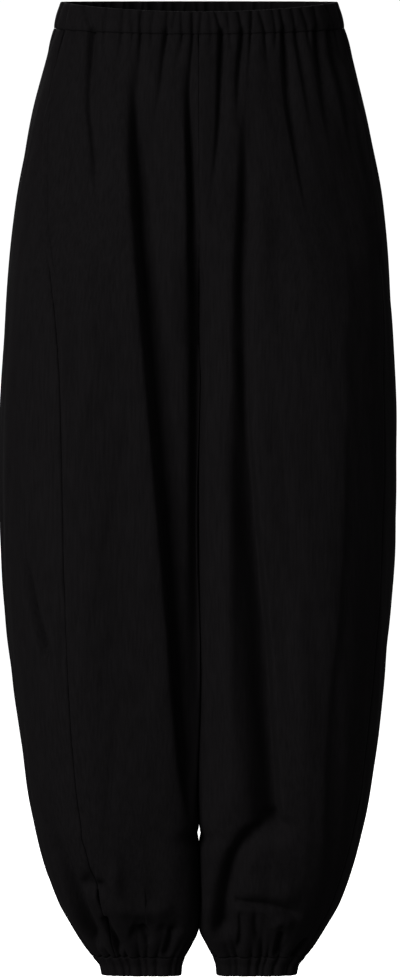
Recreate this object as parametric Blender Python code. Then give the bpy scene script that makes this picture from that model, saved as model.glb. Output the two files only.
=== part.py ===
"""Balloon trousers, filled out with nobody in them, as hollow walls of cloth.

The waist is a casing gathered on elastic, the legs are cut very full, press on each other down the
middle and are gathered into a narrow elastic casing at each ankle. Metres, +Z up, the front faces
-Y and the wearer's left leg is at +X. The origin is the middle of the waist, where it is held.

The whole garment is one surface, a function of three numbers:
    side    +1 for the wearer's left half and -1 for the right
    around  -1 at the middle of the back, 0 at the outermost side and +1 at the middle of the front;
            below the crotch both ends come round to the inside leg seam
    drop    the distance down from the middle of the waist, in millimetres
Each panel is a patch of that surface between its seams, given a wall inwards.
"""

import bpy
import numpy as np

MM = 0.001

# Driving dimensions, in millimetres
CLOTH = 1.4              # wall of the single cloth
CASING_WALL = 2.6        # folded cloth with the elastic in it
ANKLE_CASING_WALL = 2.2
SEAM_GAP = 0.3           # between neighbouring pieces
WAIST_TOP = -14.5        # drops of the waist casing's edges
WAIST_SEAM = 11.5
FORK = 170.0             # where the middle of the front and back begins to part into legs
CROTCH = 337.0           # the lowest point of the rise seam
LEGS_WHOLE = 322.0       # from here down each leg has its own closed section
ANKLE_SEAM = 966.0
HEM = 984.5
RISE_START, RISE_END = 145.0, 180.0     # degrees round the leg where the rise seam lies
TORSO_POWER = 2.3        # 2 is an ellipse, more is squarer
OUTER_POWER, INNER_POWER = 2.4, 4.5
MEETING_BREADTH = 12.0   # how near the middle the folds stop moving the cloth sideways
PRESS_SOFTNESS = 2.5     # how softly a leg turns on to the other leg

GATHERS = 12             # waves in a quarter of the waist, and in half of an ankle
WAIST_WAVE, ANKLE_WAVE = 1.35, 1.0      # heights of the gathers
WAIST_PINCH = 1.3        # how far the casing's stitching pulls in
POCKET_TOP, POCKET_END = 78.0, 262.0
POCKET_LIP = 2.2         # how far the front edge of the pocket mouth stands out
POCKET_STEPS = 12        # how far the bag goes round under the front, in steps of the front's rows
POCKET_HANG = 60.0       # how far the bag hangs below the mouth
POCKET_GAP = 0.5         # between the bag and the front panel

# One row for each section down the garment: outer half width, inner edge of the leg (below 0 where
# the leg presses on the other), depth of the front and of the back, how far the front dips
SECTION_COLUMNS = ("drop", "outer", "inner", "front", "back", "dip")
SECTIONS = (
    (-15, 142.5, -10, 93, 96, 9.5),
    (12, 149.5, -10, 95, 99, 5.0),
    (34, 155.7, -10, 99, 104, 3.5),
    (65, 163.5, -10, 105, 113, 1.8),
    (106, 173.0, -10, 112, 125, 0.5),
    (137, 179.0, -10, 116, 132, 0),
    (188, 188.0, -10, 123, 140, 0),
    (250, 194.5, -10, 131, 146, 0),
    (322, 199.5, -12, 135, 145, 0),
    (425, 202.5, -16, 138, 142, 0),
    (538, 201.0, -15, 137, 139, 0),
    (661, 192.8, -12, 131, 134, 0),
    (784, 178.4, -7, 119, 124, 0),
    (856, 163.5, -1.5, 104, 109, 0),
    (908, 146.0, -3, 84, 88, 0),
    (937, 130.5, -0.5, 64, 67, 0),
    (952, 121.0, 6.5, 50, 52, 0),
    (966, 110.0, 14.5, 37, 38, 0),
    (976, 102.0, 18.2, 31, 31, 0),
    (985, 100.5, 18.6, 30, 30, 0),
)

# Where the side seam lies round each half, from 0 at the outermost side
SEAM_COLUMNS = ("drop", "right", "left")
SIDE_SEAMS = (
    (-15, 0.27, 0.19),
    (90, 0.29, 0.26),
    (200, 0.40, 0.27),
    (400, 0.45, 0.29),
    (985, 0.45, 0.30),
)

# One row for each large fold: the half it shows on (front -1, back +1), its line down the cloth as
# three places (drop and distance to the wearer's left), its height out of the cloth and its breadth
FOLD_COLUMNS = ("name", "face", "drop_a", "x_a", "drop_b", "x_b", "drop_c", "x_c", "height", "breadth")
FOLDS = (
    ("long trough, right leg", -1, 14, -59, 342, -50, 830, -6, -19, 12),
    ("its crest, outer side", -1, 60, -84, 360, -78, 760, -48, 4, 15),
    ("its crest, inner side", -1, 90, -32, 400, -20, 700, -8, 5, 9),
    ("middle trough", -1, 14, -7, 130, -9, 270, -4, -7, 6),
    ("short trough, right hip", -1, 14, -110, 90, -112, 205, -104, -5, 6),
    ("trough, left of middle", -1, 14, 24, 90, 21, 210, 16, -5, 6),
    ("long trough, left leg", -1, 40, 44, 420, 46, 822, 78, -14, 10),
    ("its crest, inner side", -1, 170, 32, 400, 30, 690, 44, 5, 9),
    ("crest under it", -1, 560, 88, 720, 96, 800, 100, 3, 12),
    ("slanting fold, left shin", -1, 818, 80, 846, 38, 940, 24, -11, 9),
    ("trough, left hip", -1, 14, 87, 85, 90, 180, 104, -5, 6),
    ("outer trough, left hip", -1, 14, 122, 85, 138, 140, 152, -4, 6),
    ("edge of the side plane", -1, 290, 150, 600, 146, 900, 131, 7, 14),
    ("hollow of the side plane", -1, 300, 178, 600, 174, 880, 152, -6, 14),
    ("outer crease, right shin", -1, 545, -182, 660, -160, 720, -166, -3, 8),
    ("outer crease, right ankle", -1, 840, -148, 900, -128, 952, -104, -5, 7),
    ("shade above right ankle", -1, 880, -122, 884, -104, 884, -90, -3, 10),
    ("fold over left ankle", -1, 908, 33, 914, 72, 926, 106, -4, 8),
    ("back, long trough right", 1, 14, -70, 330, -62, 790, -14, -14, 14),
    ("back, crest beside it", 1, 80, -98, 380, -92, 740, -60, 4, 16),
    ("back, middle trough", 1, 14, 4, 120, 5, 250, 3, -6, 9),
    ("back, long trough left", 1, 14, 52, 360, 66, 800, 30, -14, 14),
    ("back, crest beside it", 1, 120, 90, 420, 100, 760, 74, 4, 16),
    ("back, short trough right", 1, 14, -118, 100, -126, 220, -130, -5, 9),
    ("back, short trough left", 1, 14, 112, 100, 120, 240, 128, -5, 9),
    ("back, knee fold left", 1, 470, 176, 560, 150, 690, 128, -4, 14),
    ("back, knee fold right", 1, 520, -178, 600, -152, 720, -126, -4, 14),
    ("back, ankle fold right", 1, 850, -120, 905, -92, 946, -74, -5, 11),
    ("back, ankle fold left", 1, 840, 128, 900, 100, 946, 82, -5, 11),
)

# Rows of a leg panel: the drop, and the number of steps round a front and a back panel
ROW_COLUMNS = ("drop", "front_steps", "back_steps")
ROWS = (
    (11.8, 48, 48), (20, 48, 48), (34, 48, 48), (54, 28, 17), (82, 28, 17), (115, 28, 17),
    (150, 28, 17), (188, 28, 17), (226, 28, 17), (262, 28, 17), (294, 28, 17), (320, 28, 17),
    (337, 28, 17), (385, 28, 17), (440, 28, 17), (500, 28, 17), (565, 28, 17), (630, 28, 17),
    (695, 28, 17), (755, 28, 17), (808, 28, 17), (850, 28, 17), (885, 28, 17), (915, 28, 17),
    (938, 44, 44), (953, 44, 44), (965.7, 44, 44),
)

GATHER_STEPS = 44        # a row with as many steps as this follows the gathers
CROWDING = ((0, 0), (0.2, 0.3), (0.82, 0.89), (1, 1))
LEG_TURNS = ((0, 0), (0.64, 0.5), (0.92, 0.78), (1, 1))

COLOURS = {
    "leg": (0.012, 0.011, 0.012, 1),
    "casing": (0.011, 0.010, 0.011, 1),
    "pocket": (0.014, 0.013, 0.014, 1),
}


def column(rows, columns, name):
    return np.array([row[columns.index(name)] for row in rows], float)


def smooth_table(at, places, values):
    """The value at each place, by a curve through the table's rows that never overshoots them."""
    step = np.diff(places)
    rise = np.diff(values) / step
    mixed = rise[:-1] * rise[1:] > 0
    slope = np.zeros(len(values))
    slope[1:-1][mixed] = 2 * rise[:-1][mixed] * rise[1:][mixed] / (rise[:-1] + rise[1:])[mixed]
    slope[0], slope[-1] = rise[0], rise[-1]
    at = np.clip(at, places[0], places[-1])
    k = np.clip(np.searchsorted(places, at, side="right") - 1, 0, len(step) - 1)
    t = (at - places[k]) / step[k]
    return (
        values[k] * (1 + 2 * t) * (1 - t) ** 2
        + slope[k] * step[k] * t * (1 - t) ** 2
        + values[k + 1] * t * t * (3 - 2 * t)
        - slope[k + 1] * step[k] * t * t * (1 - t)
    )


def ease(t):
    """0 to 1 with level ends."""
    t = np.clip(t, 0, 1)
    return t * t * (3 - 2 * t)


def section(drop, name):
    places = column(SECTIONS, SECTION_COLUMNS, "drop")
    return smooth_table(drop, places, column(SECTIONS, SECTION_COLUMNS, name))


def side_seam(side, drop):
    places = column(SIDE_SEAMS, SEAM_COLUMNS, "drop")
    return smooth_table(drop, places, column(SIDE_SEAMS, SEAM_COLUMNS, "left" if side > 0 else "right"))


def leg_turn(around):
    """How far round a leg each place lies, as a share of half its way round. On the front the columns
    keep their distance from the middle from the hips to the legs."""
    shares, turns = (column(LEG_TURNS, ("around", "turn"), name) for name in ("around", "turn"))
    beyond = np.maximum(np.abs(around) - 1, 0) * (turns[-1] - turns[-2]) / (shares[-1] - shares[-2])
    return np.sign(around) * (smooth_table(np.abs(around), shares, turns) + beyond)


def squared(angle, exponent):
    """A point on a circle that is squared by an exponent: 2 leaves it round."""
    x, y = np.cos(angle), np.sin(angle)
    reach = (np.abs(x) ** exponent + np.abs(y) ** exponent) ** (-1 / exponent)
    return x * reach, y * reach


def form(side, around, drop):
    """The surface with no folds or gathers, in millimetres. Its x is still free to pass the middle."""
    outer, inner = section(drop, "outer"), section(drop, "inner")
    depth = np.where(around > 0, section(drop, "front"), section(drop, "back"))
    torso_x, torso_y = squared(np.radians(90) * around, TORSO_POWER)
    rising = np.clip((drop - FORK) / (CROTCH - FORK), 0, 1) ** 3
    angle = np.radians(RISE_START + (RISE_END - RISE_START) * rising) * leg_turn(around)
    power = np.where(np.cos(angle) > 0, OUTER_POWER, INNER_POWER)
    leg_x, leg_y = squared(angle, power)
    leg_x = (outer + inner) / 2 + (outer - inner) / 2 * leg_x
    legs = ease((drop - FORK) / (LEGS_WHOLE - FORK))
    dip = section(drop, "dip") * np.where(around > 0, np.sin(np.radians(90) * around) ** 2, 0)
    x = outer * torso_x + (leg_x - outer * torso_x) * legs
    y = -depth * (torso_y + (leg_y - torso_y) * legs)
    return np.stack([side * x, y, -drop - dip + 0 * x], axis=-1)


def outward(surface, side, around, drop):
    """Unit normals of a surface, from its own neighbouring points."""
    a, b = 2e-3, 0.5
    along = surface(side, around + a, drop) - surface(side, around - a, drop)
    down = surface(side, around, drop + b) - surface(side, around, drop - b)
    normal = side * np.cross(along, down)
    return normal / np.linalg.norm(normal, axis=-1, keepdims=True)


def fold_line(row):
    """Points along a fold, on a curve through its three places."""
    t = np.linspace(0, 2, 17)
    stops = np.array([0.0, 1.0, 2.0])
    drop = smooth_table(t, stops, np.array([row["drop_a"], row["drop_b"], row["drop_c"]], float))
    x = smooth_table(t, stops, np.array([row["x_a"], row["x_b"], row["x_c"]], float))
    return np.stack([x, drop], axis=-1)


def fold_heights(points, facing):
    """How far the folds lift the cloth at these points. facing is -1 on the front and +1 on the back."""
    lift = np.zeros(points.shape[:-1])
    place = np.stack([points[..., 0], -points[..., 2]], axis=-1)
    for values in FOLDS:
        row = dict(zip(FOLD_COLUMNS, values))
        line = fold_line(row)
        nearest = np.full(lift.shape, np.inf)
        share = np.zeros(lift.shape)
        for k in range(len(line) - 1):
            run = line[k + 1] - line[k]
            t = np.clip(((place - line[k]) @ run) / (run @ run), 0, 1)
            gap = np.linalg.norm(place - line[k] - t[..., None] * run, axis=-1)
            nearer = gap < nearest
            nearest = np.where(nearer, gap, nearest)
            share = np.where(nearer, (k + t) / (len(line) - 1), share)
        ends = ease(share / 0.16) * ease((1 - share) / 0.34)
        starts_at_waist = row["drop_a"] < 20
        ends = np.where(starts_at_waist & (share < 0.3), ease(0.25 + share / 0.16), ends)
        seen = ease(facing * row["face"] * 1.6)
        lift += row["height"] * ends * seen * np.exp(-((nearest / row["breadth"]) ** 2))
    return lift


def gather_heights(side, around, drop):
    """The gathers at the waist and at the ankles, uneven but alike."""
    low = ease((drop - 500) / 100)
    turn = around + low * (leg_turn(around) - around)
    wander = 0.35 * np.sin(2 * np.pi * turn * (1.5 + 0.5 * side)) + 0.2 * np.sin(5 * np.pi * turn)
    wave = np.cos(2 * np.pi * GATHERS * turn + wander)
    uneven = 1 + 0.25 * np.sin(7 * np.pi * turn + side)
    below = np.maximum(drop - WAIST_SEAM, 0)
    waist = WAIST_WAVE * uneven * np.exp(-((below / 42) ** 2)) * (1 - 0.15 * ease((5 - drop) / 15))
    ankle = ANKLE_WAVE * ease((drop - 915) / 40) * (1 - 0.2 * ease((drop - ANKLE_SEAM) / 10))
    pinch = WAIST_PINCH * np.exp(-((drop - WAIST_SEAM) / 5) ** 2)
    pinch = pinch + 0.7 * np.exp(-((drop - ANKLE_SEAM) / 4) ** 2)
    return wave * (waist + ankle) - pinch


def pocket_heights(side, around, drop):
    """The front edge of the pocket mouth stands out and the back edge lies in."""
    along = ease((drop - POCKET_TOP) / 40) * ease((POCKET_END - drop) / 40)
    off = around - side_seam(side, drop)
    front = POCKET_LIP * np.exp(-((off / 0.05) ** 2))
    back = -1.2 * POCKET_LIP * np.exp(-((off / 0.05) ** 2))
    return along * np.where(off > 0, front, back)


def cloth(side, around, drop):
    """The outer face of the cloth, in millimetres, with its folds and gathers."""
    around, drop = np.broadcast_arrays(np.asarray(around, float), np.asarray(drop, float))
    base = form(side, around, drop)
    normal = outward(form, side, around, drop)
    lift = fold_heights(base, normal[..., 1])
    lift = lift + gather_heights(side, around, drop) + pocket_heights(side, around, drop)
    shift = lift[..., None] * normal
    # Near the middle a fold moves the cloth only forwards or backwards, so that the halves still meet.
    shift[..., 0] *= 1 - np.exp(-((base[..., 0] / MEETING_BREADTH) ** 2))
    points = base + shift
    # The legs press on each other: neither passes its side of the middle plane.
    legs = ease((drop - FORK) / (LEGS_WHOLE - FORK)) * ease((ANKLE_SEAM - drop) / 40)
    off = side * points[..., 0] - SEAM_GAP / 2
    soft = PRESS_SOFTNESS * legs
    points[..., 0] = side * (SEAM_GAP / 2 + 0.5 * (off + np.sqrt(off**2 + soft**2)))
    return points


def rows_of_wall(side, around, drops, outer_depth, inner_depth):
    """The outer and inner faces of a wall as two lists of rows, each face a depth under the cloth's."""
    places = np.concatenate(around)
    heights = np.concatenate([np.full(len(row), float(drop)) for row, drop in zip(around, drops)])
    points = cloth(side, places, heights)
    normal = outward(cloth, side, places, heights)
    ends = np.cumsum([len(row) for row in around])[:-1]
    faces = []
    for depth in (outer_depth, inner_depth):
        moved = points - depth * normal
        moved[:, 0] = side * np.maximum(side * moved[:, 0], SEAM_GAP / 2)
        faces.append(np.split(moved, ends))
    return faces


def zip_rows(first, second):
    """Triangles between two rows of vertex numbers that may differ in length."""
    faces = []
    i = j = 0
    while i < len(first) - 1 or j < len(second) - 1:
        next_i = (i + 1) / (len(first) - 1) if i < len(first) - 1 else 2
        next_j = (j + 1) / (len(second) - 1) if j < len(second) - 1 else 2
        if next_i <= next_j + 1e-9:
            faces.append((first[i], second[j], first[i + 1]))
            i += 1
        else:
            faces.append((first[i], second[j], second[j + 1]))
            j += 1
    return faces


def make_object(name, vertices, faces, colour, group):
    mesh = bpy.data.meshes.new(name)
    mesh.from_pydata([tuple(v) for v in np.asarray(vertices) * MM], [], faces)
    mesh.validate()
    mesh.shade_smooth()
    mesh.update()
    material = bpy.data.materials.new(name + "_cloth")
    material.use_nodes = True
    shader = material.node_tree.nodes["Principled BSDF"]
    shader.inputs["Base Color"].default_value = colour
    shader.inputs["Roughness"].default_value = 0.85
    shader.inputs["Metallic"].default_value = 0
    mesh.materials.append(material)
    made = bpy.data.objects.new(name, mesh)
    group.objects.link(made)
    return made


def walled(name, outside_rows, inside_rows, turned, colour, group):
    """A closed wall between two stacks of rows, with rims at its four edges."""
    vertices = []
    numbers = []
    for rows in (outside_rows, inside_rows):
        numbers.append([])
        for row in rows:
            numbers[-1].append(list(range(len(vertices), len(vertices) + len(row))))
            vertices.extend(row)
    outside, inside = numbers
    faces = []
    for k in range(len(outside) - 1):
        faces += zip_rows(outside[k], outside[k + 1])
        faces += [face[::-1] for face in zip_rows(inside[k], inside[k + 1])]
        for end in (0, -1):
            quad = (outside[k][end], outside[k + 1][end], inside[k + 1][end], inside[k][end])
            faces.append(quad if end else quad[::-1])
    faces += [face[::-1] for face in zip_rows(outside[0], inside[0])]
    faces += zip_rows(outside[-1], inside[-1])
    if turned:
        faces = [face[::-1] for face in faces]
    return make_object(name, vertices, faces, colour, group)


def ringed(name, outside_rows, inside_rows, turned, colour, group):
    """A closed wall round a hollow: each row is a ring."""
    vertices = []
    numbers = []
    for rows in (outside_rows, inside_rows):
        numbers.append([])
        for row in rows:
            ring = list(range(len(vertices), len(vertices) + len(row)))
            numbers[-1].append(ring + ring[:1])
            vertices.extend(row)
    outside, inside = numbers
    faces = []
    for k in range(len(outside) - 1):
        faces += zip_rows(outside[k], outside[k + 1])
    for k in range(len(inside) - 1):
        faces += [face[::-1] for face in zip_rows(inside[k], inside[k + 1])]
    faces += [face[::-1] for face in zip_rows(outside[0], inside[0])]
    faces += zip_rows(outside[-1], inside[-1])
    if turned:
        faces = [face[::-1] for face in faces]
    return make_object(name, vertices, faces, colour, group)


def crowded(share):
    """Moves a leg's columns towards the middle of the panel, where its long folds are."""
    steps, way = (column(CROWDING, ("steps", "way"), name) for name in ("steps", "way"))
    return smooth_table(share, steps, way)


def round_a_leg(turn):
    """The places that lie these shares of the way round a leg."""
    around = np.linspace(-1, 1, 2001)
    return np.interp(turn, leg_turn(around), around)


def panel_places(side, face):
    """The drops of a panel's rows, and the places round each, from the side seam to the inner edge."""
    drops = column(ROWS, ROW_COLUMNS, "drop")
    steps = column(ROWS, ROW_COLUMNS, "front_steps" if face < 0 else "back_steps").astype(int)
    seams = side_seam(side, drops)
    across = np.linalg.norm(cloth(side, seams + 1e-3, drops) - cloth(side, seams - 1e-3, drops), axis=-1)
    edges = seams - face * SEAM_GAP / 2 * 2e-3 / across
    around = []
    for drop, edge, count in zip(drops, edges, steps):
        share = np.linspace(0, 1, count + 1)
        if count < GATHER_STEPS:
            share = share + ease((drop - FORK) / (LEGS_WHOLE - FORK)) * (crowded(share) - share)
        if drop > CROTCH and count >= GATHER_STEPS:
            around.append(round_a_leg(leg_turn(edge) + share * (-face - leg_turn(edge))))
            around[-1][0] = edge
        else:
            around.append(edge + share * (-face - edge))
    return drops, around


def leg_panel(name, side, face, group):
    """A front (face -1) or back (face +1) panel of one half, from the waist seam to the ankle seam."""
    drops, around = panel_places(side, face)
    rows = rows_of_wall(side, around, drops, 0, CLOTH)
    for row in rows[0] + rows[1]:
        row[-1, 1] = face * max(face * row[-1, 1], SEAM_GAP / 2)
    return walled(name, *rows, (side > 0) == (face < 0), COLOURS["leg"], group)


def pocket_bag(name, side, group):
    """A flat closed bag under the front panel, made from its points, from the pocket mouth forwards."""
    drops, around = panel_places(side, -1)
    held = [k for k, drop in enumerate(drops) if POCKET_TOP < drop < POCKET_END + POCKET_HANG]
    around = [around[k][:POCKET_STEPS + 1] for k in held]
    rows = rows_of_wall(side, around, drops[held], CLOTH + POCKET_GAP, 3 * CLOTH + POCKET_GAP)
    return walled(name, *rows, side > 0, COLOURS["pocket"], group)


def ring_places(side, row):
    """The places round one half, from the middle of the back to that of the front, above or below which
    the panels' own columns lie, so that a casing meets the panels column by column."""
    front, back = panel_places(side, -1)[1][row], panel_places(side, 1)[1][row]
    return np.concatenate([back[:0:-1], [(front[0] + back[0]) / 2], front[1:-1]])


def waist_ring(drop, thickness):
    """A ring of points round both halves at one drop, moved in by a thickness."""
    ring = []
    for side in (1, -1):
        around = ring_places(side, 0)
        if side < 0:
            around = np.concatenate([[1.0], around[:0:-1]])
        points = cloth(side, around, drop) - thickness * outward(cloth, side, around, drop)
        points[0, 0] = 0
        ring.extend(points)
    return ring


def ankle_ring(side, drop, thickness):
    around = ring_places(side, -1)
    return list(cloth(side, around, drop) - thickness * outward(cloth, side, around, drop))


def build():
    for old in list(bpy.data.objects):
        bpy.data.objects.remove(old, do_unlink=True)
    group = bpy.data.collections.new("balloon_trousers")
    bpy.context.scene.collection.children.link(group)
    for side, half in ((1, "left"), (-1, "right")):
        leg_panel("front_" + half, side, -1, group)
        leg_panel("back_" + half, side, 1, group)
        pocket_bag("pocket_" + half, side, group)
        outside = [ankle_ring(side, drop, 0) for drop in (ANKLE_SEAM, 975, HEM)]
        inside = [ankle_ring(side, drop, ANKLE_CASING_WALL) for drop in (ANKLE_SEAM, HEM)]
        ringed("ankle_casing_" + half, outside, inside, side > 0, COLOURS["casing"], group)
    outside = [waist_ring(drop, 0) for drop in (WAIST_TOP, -2, WAIST_SEAM)]
    inside = [waist_ring(drop, CASING_WALL) for drop in (WAIST_TOP, WAIST_SEAM)]
    ringed("waist_casing", outside, inside, True, COLOURS["casing"], group)


build()
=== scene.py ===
"""Black balloon trousers, filled out as when worn, with nobody in them.

Each piece of cloth is a thin shell on the form of its solid, with the folds, gathers and puckers
that the cloth has, and the sewing lies on it as small stitches. Sizes below are in millimetres
unless a name or comment says otherwise; the surface is built in millimetres and stored in metres.

A place on the cloth is given by three numbers:
    side    +1 on the wearer's left half (at +X) and -1 on the right
    around  -1 at the middle of the back, 0 at the outermost side and +1 at the middle of the front;
            below the crotch both ends come round to the inside leg seam
    drop    the distance down from the middle of the waist
"""

from math import cos, radians, sin

import bpy
import numpy as np
from bpy.props import FloatProperty, FloatVectorProperty, PointerProperty
from mathutils import Matrix, Vector


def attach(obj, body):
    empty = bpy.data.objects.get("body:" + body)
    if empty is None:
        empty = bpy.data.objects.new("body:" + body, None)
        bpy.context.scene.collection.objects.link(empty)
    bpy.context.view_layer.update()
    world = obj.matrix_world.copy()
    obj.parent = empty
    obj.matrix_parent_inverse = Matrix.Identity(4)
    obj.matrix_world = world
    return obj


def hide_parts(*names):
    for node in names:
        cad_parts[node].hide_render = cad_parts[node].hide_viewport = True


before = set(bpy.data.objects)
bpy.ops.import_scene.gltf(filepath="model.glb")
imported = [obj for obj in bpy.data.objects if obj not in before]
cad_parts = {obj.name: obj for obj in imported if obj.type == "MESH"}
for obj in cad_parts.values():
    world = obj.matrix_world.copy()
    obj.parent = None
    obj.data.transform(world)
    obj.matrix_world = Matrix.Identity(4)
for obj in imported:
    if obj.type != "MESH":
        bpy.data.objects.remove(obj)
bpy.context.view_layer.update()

bl_info = {
    "name": "Balloon Trousers",
    "version": (1, 0, 0),
    "blender": (4, 5, 0),
    "location": "View3D > Sidebar > Trousers",
    "description": "Builds gathered balloon trousers as thin cloth with folds, casings and stitching",
    "category": "Object",
}

MM = 0.001
SIDES = ((1, "left"), (-1, "right"))

# The cut's fixed places, as in the solids
SEAM_GAP = 0.3
WAIST_TOP, WAIST_SEAM = -14.5, 11.5
FORK, LEGS_WHOLE, CROTCH = 170.0, 322.0, 337.0
ANKLE_SEAM, HEM = 966.0, 984.5
RISE_START, RISE_END = 145.0, 180.0                 # degrees
TORSO_POWER, OUTER_POWER, INNER_POWER = 2.3, 2.4, 4.5
POCKET_TOP, POCKET_END = 78.0, 262.0
SLIT_DROP, SLIT_EDGE, SLIT_BREADTH = 839, 1.4, 9    # the narrow slit between the shins

# The sheet on which the legs press on each other: how softly, how far it waves from the middle, over
# what length it comes and goes, how far from the slit it is calm, and how near the middle a fold only
# moves forwards or backwards
PRESS_SOFTNESS, SWAY = 1.6, 2.2
SWAY_DEPTH, SWAY_DROP = 12, 70                      # one radian of the wave, to the back and down
PRESS_START, PRESS_END, SLIT_CALM = 30, 40, 24
MEETING_BREADTH = 12.0

# Sections down the garment: half width, inner edge of the leg, depth of front and back, dip in front
SECTION_COLUMNS = ("drop", "outer", "inner", "front", "back", "dip")
SECTIONS = (
    (-15, 142.5, -10, 93, 96, 9.5), (12, 149.5, -10, 95, 99, 5.0),
    (34, 155.7, -10, 99, 104, 3.5), (65, 163.5, -10, 105, 113, 1.8),
    (106, 173.0, -10, 112, 125, 0.5), (137, 179.0, -10, 116, 132, 0),
    (188, 188.0, -10, 123, 140, 0), (250, 194.5, -10, 131, 146, 0),
    (322, 199.5, -12, 135, 145, 0), (425, 202.5, -16, 138, 142, 0),
    (538, 201.0, -15, 137, 139, 0), (661, 192.8, -12, 131, 134, 0),
    (784, 178.4, -7, 119, 124, 0), (856, 163.5, -4, 104, 109, 0),
    (908, 146.0, -3, 84, 88, 0), (937, 130.5, -0.5, 64, 67, 0),
    (952, 121.0, 6.5, 50, 52, 0), (966, 110.0, 14.5, 37, 38, 0),
    (976, 102.0, 18.2, 31, 31, 0), (985, 100.5, 18.6, 30, 30, 0),
)
SEAM_COLUMNS = ("drop", "right", "left")
SIDE_SEAMS = (
    (-15, 0.27, 0.19), (30, 0.276, 0.215), (60, 0.29, 0.238), (106, 0.325, 0.262),
    (148, 0.369, 0.273), (172, 0.39, 0.281), (196, 0.409, 0.283), (220, 0.434, 0.275),
    (244, 0.462, 0.262), (268, 0.483, 0.25), (292, 0.49, 0.247), (316, 0.477, 0.2395),
    (340, 0.457, 0.229), (364, 0.4637, 0.2357), (400, 0.4706, 0.2428), (538, 0.481, 0.246),
    (784, 0.474, 0.246), (908, 0.486, 0.262), (985, 0.45, 0.24),
)
TURN_COLUMNS = ("around", "turn")
LEG_TURNS = ((0, 0), (0.64, 0.5), (0.92, 0.78), (1, 1))

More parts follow.
